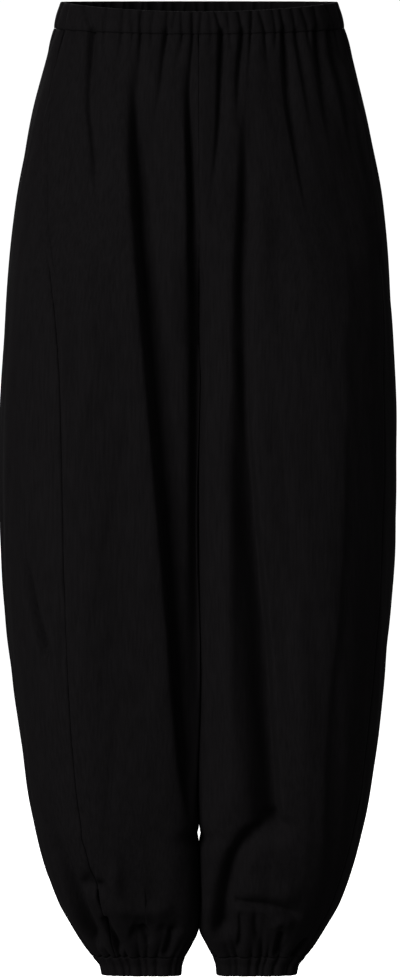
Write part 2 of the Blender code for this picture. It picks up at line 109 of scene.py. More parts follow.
# Folds, by the way the cloth faces: the height out of the cloth, the breadth towards the line's low
# and high side, the shares of its length over which it starts (0 where it comes out of a seam or
# another fold at full height) and ends, and the places of its line: drop, and distance to the
# wearer's left, or on the sides to the back
FRONT_FOLDS = (
    # right leg: its long trough and the crest beside it
    (-19, 6.5, 33, 0.15, 0.12, (34, -60), (70, -64), (116, -64), (188, -60), (342, -46.5), (558, -28),
     (702, -17), (835, -3)),
    (4, 22, 6, 0.2, 0.3, (60, -74), (250, -66), (420, -53), (600, -37), (780, -20)),
    # the middle seam's fold, and the crest beside it
    (-14, 4.5, 4, 0.15, 0.3, (32, -7), (85, -9), (188, -6), (311, -2), (560, -1.5), (760, -1)),
    (2, 9, 7, 0.3, 0.6, (90, -36), (260, -28), (420, -21)),
    # left leg: its long trough, high and low, the crests beside it, and the fold slanting over the shin
    (-12, 6, 11, 0.35, 0.4, (60, 50), (188, 47), (281, 43), (394, 46), (480, 53)),
    (-23, 21, 4, 0.4, 0.03, (300, 44), (394, 47), (517, 56), (651, 68), (743, 74), (829, 80)),
    (4, 10, 8, 0.35, 0.2, (120, 39), (281, 33), (394, 32), (517, 31), (651, 30), (800, 38)),
    (3.5, 16, 12, 0.4, 0.3, (540, 94), (660, 102), (800, 108)),
    (-16, 8, 12, 0, 0.12, (824, 79), (834, 54), (852, 39), (880, 29), (905, 24), (950, 21)),
    # left leg: the edges of its side and of the pocket
    (4, 30, 8, 0.4, 0.2, (262, 146), (476, 144), (599, 138), (702, 127), (779, 124), (925, 122)),
    (6, 24, 5, 0.15, 0.15, (30, 150), (85, 158), (134, 167.5), (195, 175.8), (240, 181), (268, 184)),
    # short folds hanging from the waist casing, from right to left
    (-5, 3, 8, 0, 0.6, (15, -111), (85, -113), (125, -109), (165, -106), (222, -103)),
    (-3.2, 3.5, 6, 0, 0.7, (15, -33), (60, -38), (100, -44), (150, -52)),
    (-5, 3, 6, 0, 0.6, (15, 23), (85, 21.5), (130, 19), (165, 15), (205, 12)),
    (-3.6, 3, 5, 0, 0.6, (15, 44), (60, 41), (90, 40), (120, 43)),
    (-5, 3, 8, 0, 0.6, (15, 87), (85, 91), (130, 98), (168, 105), (230, 118)),
    (-3.2, 3, 6, 0, 0.7, (15, 101), (90, 112), (130, 118)),
    (-4, 3, 7, 0, 0.6, (15, 120), (90, 128), (135, 134)),
    (-4.5, 3, 6, 0, 0.5, (15, 134), (97, 148), (150, 158)),
    # soft folds of the thighs, left and right
    (-3, 10, 13, 0.3, 0.5, (190, 74), (270, 82), (360, 88)),
    (-3, 12, 12, 0.4, 0.5, (230, -128), (330, -124), (450, -118)),
    # right leg: creases of the knee and the shin
    (-16, 3.4, 4.5, 0.3, 0.2, (550, -182), (599, -173), (625, -165), (657, -155)),
    (-1.6, 3, 4, 0.3, 0.4, (560, -139), (640, -140), (700, -137)),
    # right ankle: the outer crease, with the crest outside it and the shade and crest inside it
    (-14, 2.8, 8, 0.6, 0.1, (800, -160), (830, -153), (853, -146), (870, -139), (893, -131), (923, -119.5),
     (946, -109), (959, -102)),
    (5, 9, 4, 0.5, 0.2, (836, -159), (880, -144), (915, -130), (945, -117)),
    (-8, 6, 14, 0.3, 0.3, (882, -126), (890, -108), (887, -90)),
    (3, 7, 8, 0.4, 0.4, (858, -86), (890, -86), (912, -91)),
    # right ankle: the belly of the leg's end, the hollows under it, and three creases
    (6, 8, 12, 0.3, 0.3, (902, -96), (914, -62), (912, -22)),
    (-6, 7, 7, 0.3, 0.3, (934, -72), (938, -60), (934, -48)),
    (-3.5, 6, 6, 0.3, 0.3, (930, -44), (936, -32), (930, -16)),
    (-7, 3, 4, 0.15, 0.15, (920, -99), (944, -88), (961, -79)),
    (-5, 3, 4, 0.2, 0.3, (932, -62), (944, -54), (952, -50)),
    (-6, 3.5, 4, 0.2, 0.1, (932, -25), (948, -30), (964, -35)),
    # left ankle: the fold over it, the belly above, and creases with a curl between them
    (-7, 3, 6, 0.1, 0.2, (908, 33), (910, 64), (916, 89), (922, 108)),
    (5, 7, 12, 0.3, 0.3, (890, 42), (896, 74), (902, 106)),
    (-7, 3, 4, 0.15, 0.1, (936, 85), (950, 82), (964, 79)),
    (3.5, 4, 5, 0.3, 0.3, (936, 74), (926, 84), (932, 98)),
    (-5, 3, 4, 0.2, 0.1, (946, 113), (956, 104), (966, 94)),
    (-4, 3, 4, 0.2, 0.2, (914, 42), (936, 43), (960, 40)),
    (-2.5, 3, 4, 0.3, 0.3, (912, 58), (930, 58), (950, 60)),
)
BACK_FOLDS = (
    # right leg: the long trough and its crest, then the middle fold
    (-15, 20, 10, 0, 0.2, (15, -70), (180, -72), (330, -62), (560, -44), (790, -14)),
    (4, 16, 14, 0.3, 0.3, (90, -98), (380, -92), (740, -60)),
    (-7, 8, 8, 0, 0.4, (15, 4), (120, 6), (250, 3), (420, 2)),
    # left leg: the long trough and its crests
    (-15, 10, 20, 0, 0.2, (15, 52), (180, 60), (360, 66), (560, 58), (800, 30)),
    (4, 14, 16, 0.3, 0.3, (120, 90), (420, 100), (760, 74)),
    (4, 9, 9, 0.3, 0.4, (100, 28), (300, 30), (560, 22)),
    # folds hanging from the waist casing: two of the seat, and short ones
    (-5, 7, 9, 0, 0.5, (15, -118), (100, -126), (160, -128), (235, -118)),
    (-5, 8, 8, 0, 0.5, (15, 112), (100, 120), (170, 128), (250, 124)),
    (-4, 5, 7, 0, 0.5, (15, -38), (60, -36), (130, -40)),
    (-4, 6, 5, 0, 0.5, (15, 30), (70, 26), (120, 27)),
    (-3.5, 5, 6, 0, 0.5, (15, 86), (60, 92), (105, 96)),
    (-3.5, 6, 5, 0, 0.5, (15, -92), (60, -97), (110, -100)),
    # pairs, right and left: under the seat, at the knees and at the calves
    (-4, 10, 14, 0.3, 0.4, (330, -30), (352, -70), (350, -110)),
    (-4, 10, 14, 0.3, 0.4, (334, 34), (356, 78), (352, 118)),
    (-4.5, 9, 12, 0.2, 0.4, (500, -178), (560, -160), (640, -140), (720, -122)),
    (-4.5, 9, 12, 0.2, 0.4, (470, 178), (560, 152), (690, 128)),
    (-3.5, 9, 9, 0.3, 0.4, (700, 96), (780, 104), (850, 98)),
    (-3.5, 9, 9, 0.3, 0.4, (660, -84), (760, -92), (840, -84)),
    # ankles, in pairs: folds, bellies of the legs' ends and low creases
    (-6, 8, 8, 0.2, 0.2, (846, -126), (890, -106), (930, -84), (955, -74)),
    (-6, 8, 8, 0.2, 0.2, (840, 128), (890, 108), (936, 86), (955, 78)),
    (4, 10, 14, 0.3, 0.3, (900, -100), (910, -60), (904, -24)),
    (4, 10, 14, 0.3, 0.3, (900, 26), (912, 62), (902, 104)),
    (-3.5, 4, 5, 0.2, 0.2, (926, -44), (944, -48), (960, -52)),
    (-3.5, 4, 5, 0.2, 0.2, (926, 60), (942, 56), (960, 52)),
)
LEFT_FOLDS = (
    # the long fold, its crest, and folds of the hip, shin and ankle
    (-7, 12, 16, 0.25, 0.3, (240, 38), (430, 30), (640, 22), (840, 10)),
    (4, 16, 14, 0.3, 0.3, (300, 66), (520, 60), (760, 40)),
    (-4, 6, 8, 0, 0.5, (15, 20), (80, 26), (170, 34)),
    (-4, 8, 10, 0.3, 0.3, (700, -24), (800, -14), (900, -4)),
    (-4, 6, 6, 0.2, 0.2, (884, 20), (920, 14), (956, 10)),
)
RIGHT_FOLDS = (
    (-7, 16, 12, 0.25, 0.3, (260, 24), (450, 34), (660, 26), (850, 14)),
    (3.5, 14, 14, 0.3, 0.3, (300, -6), (520, 2), (760, -4)),
    (-4, 8, 6, 0, 0.5, (15, 10), (90, 18), (190, 26)),
    (-4, 10, 8, 0.3, 0.3, (690, 52), (790, 44), (890, 24)),
    (-4, 6, 6, 0.2, 0.2, (880, -14), (920, -8), (956, -6)),
)
FOLDS = {"front": FRONT_FOLDS, "back": BACK_FOLDS, "left": LEFT_FOLDS, "right": RIGHT_FOLDS}
FACINGS = {"front": (0, -1), "back": (0, 1), "left": (1, 0), "right": (-1, 0)}

# Puckers of the waist's elastic, by face: the place at the casing's top edge, at its stitching and at
# the foot, how far below the stitching the foot is, the depth, and the breadth at the foot
PUCKERS = {
    "front": (
        (-145, -141, -143, 26, 1.8, 5), (-132, -128.5, -132.6, 56, 2.3, 6),
        (-118, -110, -115, 66, 3.6, 5), (-93.5, -97.7, -96.6, 30, 2.4, 4),
        (-77, -79, -83.5, 56, 2.6, 8), (-69, -67.5, -68.5, 22, 2.0, 3),
        (-58.6, -59.6, -64.5, 84, 4.6, 7), (-46, -48, -48, 20, 1.8, 3),
        (-31, -33, -38, 50, 2.8, 7), (-23.5, -27.8, -28.8, 16, 2.2, 3),
        (-17.5, -16.4, -23, 44, 2.8, 6), (-6.2, -6.2, -11.3, 84, 4.2, 5),
        (3.1, 1.0, 1.0, 24, 2.4, 4), (11, 12.5, 12, 22, 1.8, 3),
        (17.5, 23.6, 21.8, 84, 4.0, 4), (29.8, 31.9, 33, 26, 2.4, 4),
        (41, 45, 40, 60, 3.8, 5), (54.5, 53.5, 50, 74, 3.8, 6),
        (62, 68, 73, 56, 3.0, 6), (76, 79, 78, 26, 2.2, 4),
        (84, 87.4, 92, 66, 3.8, 5), (95.6, 99.7, 107, 50, 2.6, 7),
        (105, 112, 116, 26, 2.4, 4), (118, 121.3, 126.4, 70, 3.4, 6),
        (130.6, 134.7, 142, 64, 3.4, 6), (139, 144, 148, 30, 2.2, 4),
    ),
    "left": (
        (-44, -40, -44, 34, 2.4, 5), (-20, -25, -24, 52, 3.0, 6),
        (-6, -3, -6, 28, 2.2, 4), (14, 18, 24, 62, 3.2, 7),
        (36, 33, 36, 30, 2.4, 5), (50, 54, 56, 44, 2.8, 5),
    ),
    "right": (
        (-38, -42, -46, 44, 2.6, 5), (-24, -22, -20, 30, 2.2, 5),
        (0, -4, -8, 60, 3.2, 7), (18, 20, 22, 28, 2.4, 4),
        (37, 34, 38, 50, 2.8, 6), (54, 52, 52, 30, 2.4, 4),
    ),
}
BACK_LIKENESS = -0.97    # the back's puckers are the front's, turned round and uneven in their own way
BACK_SHIFT, BACK_REACH, BACK_DEPTH = 2.5, 0.35, 0.2  # by how much: a distance, and shares of the front's

# How the cloth's facing hides folds and puckers that lie on another face: gain and threshold
FOLD_VIEW, PUCKER_VIEW = (1.7, 0.1), (2.2, 0.7)
FOLD_STEP, FOLD_POINTS = 12, 8       # along a fold's line: the distance of points, and their fewest
FOLD_REACH, FOLD_TURNOVER = 3, 0.5   # where a fold ends, and its change of breadth, in breadths

# The puckers: where they have ended, their gain, their breadth at the stitching and what the top edge
# adds, how far it grows, how they fade down the cloth and up the casing, and the puffs of cloth above
# and below the stitching (height, drop, breadth)
PUCKERS_END, PUCKER_GAIN, PUCKER_BREADTH, TOP_BREADTH = 170, 1.25, 1.35, 0.35
PUCKER_GROWTH, PUCKER_FADE, TOP_FADE = 1.3, 0.7, 0.2
PUFFS = ((0.6, 1, 9), (0.8, 26, 12))

# The ankles' gathers: how many, and below which drop; depth and reach up the leg, as a mean and its
# unevenness; breadth, its growth and how they fade; how unevenly they stand and lean; half the way
# round the leg's end, from its width; and the puff of cloth above the casing
ANKLE_GATHERS, GATHERS_START = 30, 850
GATHER_DEPTH, GATHER_REACH = (3.1, 1.1), (24, 14)
GATHER_BREADTH, GATHER_SPREAD, GATHER_FADE = 1.7, 0.07, 1.6
GATHER_SHIFT, GATHER_LEAN, LEAN_RISE = 0.3, 0.01, 20
END_ROUND, END_DEPTH = 1.35, 30
ANKLE_PUFF_HEIGHT, ANKLE_PUFF_REACH = 1.2, 20

# Seams, as height and breadth: the groove, the ridges beside it and the stitches' pull, then the
# groove of the middle seam, the pocket mouth's raised front edge and sunk back edge, and the casings
GROOVE, RIDGE, RIDGE_PLACE = (0.45, 1.2), (0.2, 3), 4
PULL, PULL_STEP, PULL_REACH = 0.25, 2.6, (7, 5)
MIDDLE_GROOVE, MIDDLE_END, MIDDLE_FADE = (0.6, 1.2), 300, 60
MOUTH_OUT, MOUTH_IN, MOUTH_FADE = (3.4, 6), (3.0, 9), 30
WAIST_GROOVE, ANKLE_GROOVE, SEAM_FADE = (0.5, 2.2), (0.5, 2.0), 4

# The small unevenness of soft cloth: waves round (per quarter), waves down (per metre), height; then
# its share, how its waves lean and bend, and where it is calm: at the middle, the waist and the ankle
CRUMPLE = (
    (1.3, 1.1, 0.9), (2.1, 2.3, 0.6), (3.4, 1.2, 0.5), (4.6, 3.4, 0.35), (6.3, 2.2, 0.32),
    (8.1, 6.0, 0.2), (10.4, 4.4, 0.2), (13.0, 9.0, 0.12), (5.2, 14.0, 0.16), (17.0, 7.0, 0.1),
)
CRUMPLE_SHARE, CRUMPLE_LEAN, CRUMPLE_BEND = 0.8, 0.8, 160
CRUMPLE_CALM = (0.06, 20, 120, 60)
FULL_TURN = 6.28

# Walls of the shells, steps round and down a panel, and how its rows crowd towards both ends
LEG_CLOTH_WALL, CASING_CLOTH_WALL, POCKET_CLOTH_WALL = 0.9, 0.8, 0.4
FRONT_GRID, BACK_GRID, ROW_CROWD = (176, 260), (168, 220), 0.45

# The casings: steps round, bulge of the outside and thickness of the folded strip; then the steps
# down and over its edge, that edge's roundness, how near the ring's ends are to join, and its bulges
WAIST_CASING, ANKLE_CASING, FINE_STEPS = (300, 0.5, 2.6), (192, 0.4, 2.2), 3001
CASING_STEPS, EDGE_STEPS, EDGE_ROUND, JOIN_MM = 15, 7, 0.9, 0.02
BULGE_LEAN, BULGE_POWER, INNER_BULGE = 1.02, 0.7, 0.5

# A pocket bag: how far it goes past the mouth's ends, its width, how its top and foot round off
# (length, and width at the very end), steps down and round, how deep its two leaves lie, and the
# painted shade of its lining: the cloth's colour darkened, because the pocket's inside lies in shade
BAG_ABOVE, BAG_BELOW, BAG_WIDTH = 18, 44, 78
BAG_TOP, BAG_FOOT = (22, 0.35), (70, 0.12)
BAG_STEPS, LEAF_STEPS, LEAF_START, LEAF_DEPTHS = 61, 22, 0.02, (2.6, 4.4)
# a painted shade: the share of the cloth's colour that the pocket lining keeps
LINING_PAINTED_SHADE = 0.85

# The sewing: rows from the casing's seam and from the pocket's mouth, the bar tacks' three rows, the
# points along a row, and a stitch's flatness and lift in threads, and the distance that sets its way
CASING_MARGIN, MOUTH_MARGIN = 2.4, 6
TACK_START, TACK_ROWS = 0.4, (-0.6, 0.0, 0.6)
RING_POINTS, MOUTH_POINTS, TACK_POINTS = 900, 240, 30
STITCH_FLATNESS, STITCH_LIFT, STITCH_AHEAD = 0.8, 0.2, 0.5

# The stage, in metres: the picture's middle and height, the floor, and each light's place and size
PICTURE_MIDDLE, PICTURE_HEIGHT, SENSOR_MM = (0.001, 0, -0.4847), 1.0043, 24
FLOOR_SIZE, BACKDROP_STRENGTH = 60, 1.05
LIGHTS = {
    "key": ((-2.5, -3.2, 0.3), 2.2, 2.2),
    "fill": ((1.6, -3.6, -0.1), 1.4, 2.0),
    "back": ((-0.7, 2.8, 3.0), 1.8, 1.8),
    "side": ((3.8, -0.4, 0.8), 1.8, 2.0),
}


# ---------------- the surface

def run_lengths(points, axis):
    """The distance of each point from the first one, along rows or columns of points."""
    steps = np.linalg.norm(np.diff(points, axis=axis), axis=-1)
    start = np.zeros_like(np.take(steps, [0], axis=axis))
    return np.concatenate([start, np.cumsum(steps, axis=axis)], axis=axis)


def smooth_table(at, places, values):
    """The value at each place, by a curve through the table's rows that never overshoots them."""
    step = np.diff(places)
    rise = np.diff(values) / step
    mixed = rise[:-1] * rise[1:] > 0
    slope = np.zeros(len(values))
    slope[1:-1][mixed] = 2 * rise[:-1][mixed] * rise[1:][mixed] / (rise[:-1] + rise[1:])[mixed]
    slope[0], slope[-1] = rise[0], rise[-1]
    at = np.clip(at, places[0], places[-1])
    k = np.clip(np.searchsorted(places, at, side="right") - 1, 0, len(step) - 1)
    t = (at - places[k]) / step[k]
    return (
        values[k] * (1 + 2 * t) * (1 - t) ** 2
        + slope[k] * step[k] * t * (1 - t) ** 2
        + values[k + 1] * t * t * (3 - 2 * t)
        - slope[k + 1] * step[k] * t * t * (1 - t)
    )


def looked_up(rows, columns, name, at):
    """The table's column of that name, at each place of its first column."""
    places, values = (
        np.array([row[columns.index(key)] for row in rows], float) for key in (columns[0], name))
    return smooth_table(at, places, values)


def section(drop, name):
    return looked_up(SECTIONS, SECTION_COLUMNS, name, drop)


def side_seam(side, drop):
    return looked_up(SIDE_SEAMS, SEAM_COLUMNS, "left" if side > 0 else "right", drop)


def leg_turn(around):
    """How far round a leg each place lies, as a share of half its way round."""
    (share, turn), (last_share, last_turn) = LEG_TURNS[-2:]
    beyond = np.maximum(np.abs(around) - 1, 0) * (last_turn - turn) / (last_share - share)
    return np.sign(around) * (looked_up(LEG_TURNS, TURN_COLUMNS, "turn", np.abs(around)) + beyond)


def ease(t):
    t = np.clip(t, 0, 1)
    return t * t * (3 - 2 * t)


def bell(distance, breadth):
    return np.exp(-((distance / breadth) ** 2))


def crease(distance, breadth):
    """Like a bell, but with a sharper middle and wider skirts."""
    sharpness = 0.6
    return np.exp(sharpness - np.sqrt((distance / breadth) ** 2 + sharpness**2))


def wobble(seed):
    """A fixed uneven number from -1 to 1."""
    return 2 * ((sin(12.9898 * seed + 4.1) * 43758.5453) % 1) - 1


def squared(angle, exponent):
    """A rounded square's edge at this angle, from its middle."""
    x, y = np.cos(angle), np.sin(angle)
    reach = (np.abs(x) ** exponent + np.abs(y) ** exponent) ** (-1 / exponent)
    return x * reach, y * reach


def form(side, around, drop):
    """The surface with no folds or gathers, in millimetres. Its x is still free to pass the middle."""
    outer, inner = section(drop, "outer"), section(drop, "inner")
    inner = inner + (SLIT_EDGE - inner) * bell(drop - SLIT_DROP, SLIT_BREADTH)
    depth = np.where(around > 0, section(drop, "front"), section(drop, "back"))
    quarter = radians(90) * around
    torso_x, torso_y = squared(quarter, TORSO_POWER)
    rising = np.clip((drop - FORK) / (CROTCH - FORK), 0, 1) ** 3
    angle = np.radians(RISE_START + (RISE_END - RISE_START) * rising) * leg_turn(around)
    leg_x, leg_y = squared(angle, np.where(np.cos(angle) > 0, OUTER_POWER, INNER_POWER))
    leg_x = (outer + inner) / 2 + (outer - inner) / 2 * leg_x
    legs = ease((drop - FORK) / (LEGS_WHOLE - FORK))
    dip = section(drop, "dip") * np.where(around > 0, np.sin(quarter) ** 2, 0)
    x = outer * torso_x + (leg_x - outer * torso_x) * legs
    y = -depth * (torso_y + (leg_y - torso_y) * legs)
    return np.stack([side * x, y, -drop - dip + 0 * x], axis=-1)


def outward(side, around, drop):
    """The direction out of the form at each place."""
    turn, fall = 2e-3, 0.5
    along = form(side, around + turn, drop) - form(side, around - turn, drop)
    down = form(side, around, drop + fall) - form(side, around, drop - fall)
    normal = side * np.cross(along, down)
    return normal / np.linalg.norm(normal, axis=-1, keepdims=True)


def quarter_turn(side, around, drop):
    """Millimetres along the cloth for one unit of around, at each drop."""
    turn = 1e-3
    ends = form(side, around + turn, drop) - form(side, around - turn, drop)
    return np.linalg.norm(ends, axis=-1) / (2 * turn)


def seen_from(face, points, normals, gain, threshold):
    """How far across each point lies, seen facing that face, and the share of it that shows there."""
    facing = FACINGS[face]
    across = points[..., 1] if facing[0] else points[..., 0]
    return across, ease(gain * (facing[0] * normals[..., 0] + facing[1] * normals[..., 1]) - threshold)


def fold_line(places):
    """Points along a fold, evenly on a curve through its places, as distance across and drop."""
    places = np.array(places, float)
    lengths = run_lengths(places, 0)
    at = np.linspace(0, lengths[-1], max(FOLD_POINTS, int(lengths[-1] / FOLD_STEP)))
    return np.stack([smooth_table(at, lengths, places[:, k]) for k in (1, 0)], axis=-1)


def fold_lift(line, height, low, high, start, end, places, shown):
    """How far one fold lifts the cloth at these places, each a distance across and a drop."""
    nearest = np.full(len(places), np.inf)
    share, offset = np.zeros(len(places)), np.zeros(len(places))
    for k in range(len(line) - 1):
        run = line[k + 1] - line[k]
        t = np.clip(((places - line[k]) @ run) / (run @ run), 0, 1)
        away = places - line[k] - t[:, None] * run
        gap = np.hypot(away[:, 0], away[:, 1])
        nearer = gap < nearest
        nearest = np.where(nearer, gap, nearest)
        share = np.where(nearer, (k + t) / (len(line) - 1), share)
        # the low side is towards the wearer's right (or the front), or downwards on a level fold
        upwards = 1 if run[1] > -1e-6 else -1
        offset = np.where(nearer, (away[:, 0] * run[1] - away[:, 1] * run[0]) * upwards, offset)
    turnover = FOLD_TURNOVER * min(low, high) * np.hypot(*run)
    breadth = low + (high - low) * (0.5 + 0.5 * np.tanh(offset / turnover))
    ends = ease((1 - share) / end)
    if start:
        ends = ends * ease(share / start)
    return height * ends * shown * bell(nearest, breadth)


def fold_heights(points, normals):
    """How far the folds lift the cloth at these points."""
    lift = np.zeros(points.shape[:-1])
    for face, rows in FOLDS.items():
        across, shown = seen_from(face, points, normals, *FOLD_VIEW)
        places = np.stack([across, -points[..., 2]], axis=-1)
        for height, low, high, start, end, *line in rows:
            line = fold_line(line)
            reach = FOLD_REACH * max(low, high)
            inside = (places > line.min(axis=0) - reach) & (places < line.max(axis=0) + reach)
            near = inside.all(axis=-1) & (shown > 0)
            if near.any():
                lift[near] += fold_lift(line, height, low, high, start, end, places[near], shown[near])
    return lift


def waist_puckers():
    """The rows of the table by face, with rows like the front's for the back."""
    rows = []
    for k, (top, seam, foot, reach, depth, spread) in enumerate(PUCKERS["front"]):
        shift = BACK_SHIFT * wobble(k + 11)
        top, seam, foot = (BACK_LIKENESS * place + shift for place in (top, seam, foot))
        reach *= 1 + BACK_REACH * wobble(k + 40)
        depth *= 1 + BACK_DEPTH * wobble(k + 60)
        rows.append((top + wobble(k + 3), seam, foot + wobble(k + 4), reach, depth, spread))
    return {**PUCKERS, "back": rows}


def pucker_heights(points, normals, drop):
    """The elastic's puckers: creases that start at the casing's top edge and fade down the cloth."""
    lift = np.zeros(np.shape(drop))
    near = drop < PUCKERS_END
    if not near.any():
        return lift
    below = np.maximum(drop[near] - WAIST_SEAM, 0)
    above = np.maximum(WAIST_SEAM - drop[near], 0) / (WAIST_SEAM - WAIST_TOP)
    for face, rows in waist_puckers().items():
        across, shown = seen_from(face, points[near], normals[near], *PUCKER_VIEW)
        for top, seam, foot, reach, depth, spread in rows:
            t = below / reach
            middle = seam + (top - seam) * above + (foot - seam) * ease(t)
            growth = (spread - PUCKER_BREADTH) * np.minimum(t, PUCKER_GROWTH)
            breadth = PUCKER_BREADTH + TOP_BREADTH * above + growth
            fade = (1 - ease(PUCKER_FADE * t)) * (1 - TOP_FADE * above)
            lift[near] -= PUCKER_GAIN * depth * fade * shown * crease(across - middle, breadth)
    return lift + sum(height * bell(drop - place, breadth) for height, place, breadth in PUFFS)


def ankle_heights(side, around, drop):
    """The gathers over the ankle's elastic."""
    lift = np.zeros(np.shape(around))
    near = drop > GATHERS_START
    if not near.any():
        return lift
    above = np.maximum(ANKLE_SEAM - drop, 0)
    turn = leg_turn(around[near])
    rise = above[near]
    size = ((section(drop, "outer") - section(drop, "inner")) * END_ROUND + END_DEPTH)[near]
    for k in range(ANKLE_GATHERS + 2):
        seed = k + 50 * side
        place = -1 + 2 * (k - 0.5 + GATHER_SHIFT * wobble(seed)) / ANKLE_GATHERS
        lean = GATHER_LEAN * wobble(seed + 5) * rise / LEAN_RISE
        depth, reach = (
            mean + uneven * wobble(seed + step)
            for (mean, uneven), step in ((GATHER_DEPTH, 9), (GATHER_REACH, 2)))
        fade = np.exp(-((rise / reach) ** GATHER_FADE))
        off, breadth = (turn - place - lean) * size, GATHER_BREADTH + GATHER_SPREAD * rise
        lift[near] -= depth * fade * crease(off, breadth)
    return lift + ANKLE_PUFF_HEIGHT * bell(above, ANKLE_PUFF_REACH) * near


def ridge(distance, height, breadth):
    return height * bell(distance, breadth)


def seam_heights(side, around, drop):
    """The grooves of the side and middle seams, the pull of their stitching, the pocket mouth."""
    size = quarter_turn(side, around, drop)
    off = (around - side_seam(side, drop)) * size
    beside = np.abs(off) - RIDGE_PLACE
    pull = PULL * np.sin(drop / PULL_STEP) * bell(off, PULL_REACH[0])
    lift = -ridge(off, *GROOVE) + ridge(beside, *RIDGE) + 0.5 * pull * bell(beside, PULL_REACH[1])
    below_waist = ease((drop - WAIST_SEAM) / SEAM_FADE)
    lift = lift * (below_waist * ease((ANKLE_SEAM - drop) / SEAM_FADE))
    middle = ridge((1 - np.abs(around)) * size, *MIDDLE_GROOVE)
    lift = lift - middle * ease((MIDDLE_END - drop) / MIDDLE_FADE) * below_waist
    along = ease((drop - POCKET_TOP) / MOUTH_FADE) * ease((POCKET_END - drop) / MOUTH_FADE)
    lift = lift + along * np.where(off > 0, ridge(off, *MOUTH_OUT), -ridge(off, *MOUTH_IN))
    return lift - ridge(drop - WAIST_SEAM, *WAIST_GROOVE) - ridge(drop - ANKLE_SEAM, *ANKLE_GROOVE)


def crumple_heights(side, around, drop):
    """The small unevenness of soft cloth, mostly up and down."""
    middle_fade, waist_start, waist_fade, ankle_fade = CRUMPLE_CALM
    lift = np.zeros(np.shape(around))
    for k, (turns, falls, height) in enumerate(CRUMPLE):
        phase = FULL_TURN * wobble(k + 5 * side)
        lean = CRUMPLE_LEAN * wobble(k + 31 + side) * np.sin(drop / CRUMPLE_BEND + k)
        lift += height * np.sin(FULL_TURN * (turns * around + falls * drop / 1000 + lean) + phase)
    calm = ease((1 - np.abs(around)) / middle_fade)
    at_waist, at_ankle = ease((drop - waist_start) / waist_fade), ease((ANKLE_SEAM - drop) / ankle_fade)
    return lift * calm * at_waist * at_ankle * CRUMPLE_SHARE


def cloth(side, around, drop):
    """The outer face of the cloth, in millimetres, with its folds and gathers."""
    around, drop = np.broadcast_arrays(np.asarray(around, float), np.asarray(drop, float))
    base = form(side, around, drop)
    normal = outward(side, around, drop)
    lift = fold_heights(base, normal) + pucker_heights(base, normal, drop)
    lift = lift + ankle_heights(side, around, drop)
    lift = lift + seam_heights(side, around, drop) + crumple_heights(side, around, drop)
    shift = lift[..., None] * normal
    # Near the middle a fold moves the cloth only forwards or backwards, so that the halves still meet.
    shift[..., 0] *= 1 - bell(base[..., 0], MEETING_BREADTH)
    points = base + shift
    # The legs press on each other along one soft sheet: neither passes it.
    parted = ease((drop - CROTCH) / PRESS_START) * ease((ANKLE_SEAM - drop) / PRESS_END)
    wave = SWAY * np.sin(points[..., 1] / SWAY_DEPTH + drop / SWAY_DROP)
    sway = wave * parted * (1 - bell(drop - SLIT_DROP, SLIT_CALM))
    gap = SEAM_GAP / 2 * parted
    off = side * (points[..., 0] - sway) - gap
    soft = PRESS_SOFTNESS * parted
    points[..., 0] = side * (gap + 0.5 * (off + np.sqrt(off**2 + soft**2))) + sway
    return points


# ---------------- making pieces

def clear_selection():
    if bpy.context.mode != "OBJECT":
        bpy.ops.object.mode_set(mode="OBJECT")
    bpy.ops.object.select_all(action="DESELECT")


def alone(piece):
    clear_selection()
    piece.select_set(True)
    bpy.context.view_layer.objects.active = piece


def edit_all(piece, operator, **values):
    """Runs one edit-mode operator on all of a piece."""
    alone(piece)
    bpy.ops.object.mode_set(mode="EDIT")
    bpy.ops.mesh.select_all(action="SELECT")
    operator(**values)
    bpy.ops.object.mode_set(mode="OBJECT")


def laid_grid(name, points, outwards):
    """A grid of cloth laid on an array of points (down, round) in millimetres, with a UV map in metres.
    outwards is the direction out of the garment at the array's first point."""
    rows, steps = points.shape[0] - 1, points.shape[1] - 1
    clear_selection()
    bpy.ops.mesh.primitive_grid_add(x_subdivisions=steps, y_subdivisions=rows, size=1)
    piece = bpy.context.object
    piece.name = piece.data.name = name
    mesh = piece.data
    flat = np.empty(len(mesh.vertices) * 3)
    mesh.vertices.foreach_get("co", flat)
    flat = flat.reshape(-1, 3)
    across = np.rint((flat[:, 0] + 0.5) * steps).astype(int)
    down = np.rint((0.5 - flat[:, 1]) * rows).astype(int)
    mesh.vertices.foreach_set("co", (points[down, across] * MM).ravel())
    corners = np.empty(len(mesh.loops), int)
    mesh.loops.foreach_get("vertex_index", corners)
    # The threads run down the cloth, so its width is counted from the middle of each row.
    widths, lengths = run_lengths(points, 1), run_lengths(points, 0)
    widths = widths - widths[:, widths.shape[1] // 2][:, None]
    layer = mesh.uv_layers[0]
    layer.name = "cloth"
    uv = np.stack([widths[down, across], -lengths[down, across]], axis=-1) * MM
    layer.data.foreach_set("uv", uv[corners].astype(np.float32).ravel())
    mesh.update()
    facing = np.cross(points[0, 1] - points[0, 0], points[0, 0] - points[1, 0])
    if facing @ np.array(outwards) < 0:
        edit_all(piece, bpy.ops.mesh.flip_normals)
    return piece


def finish_cloth(piece, wall_mm, material, node):
    """Gives a sheet its wall inwards, its material and its place in the frame."""
    alone(piece)
    wall = piece.modifiers.new("wall", "SOLIDIFY")
    wall.thickness = wall_mm * MM
    wall.offset = -1
    bpy.ops.object.modifier_apply(modifier="wall")
    bpy.ops.object.shade_smooth()
    piece.data.materials.append(material)
    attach(piece, "root")
    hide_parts(node)
    return piece


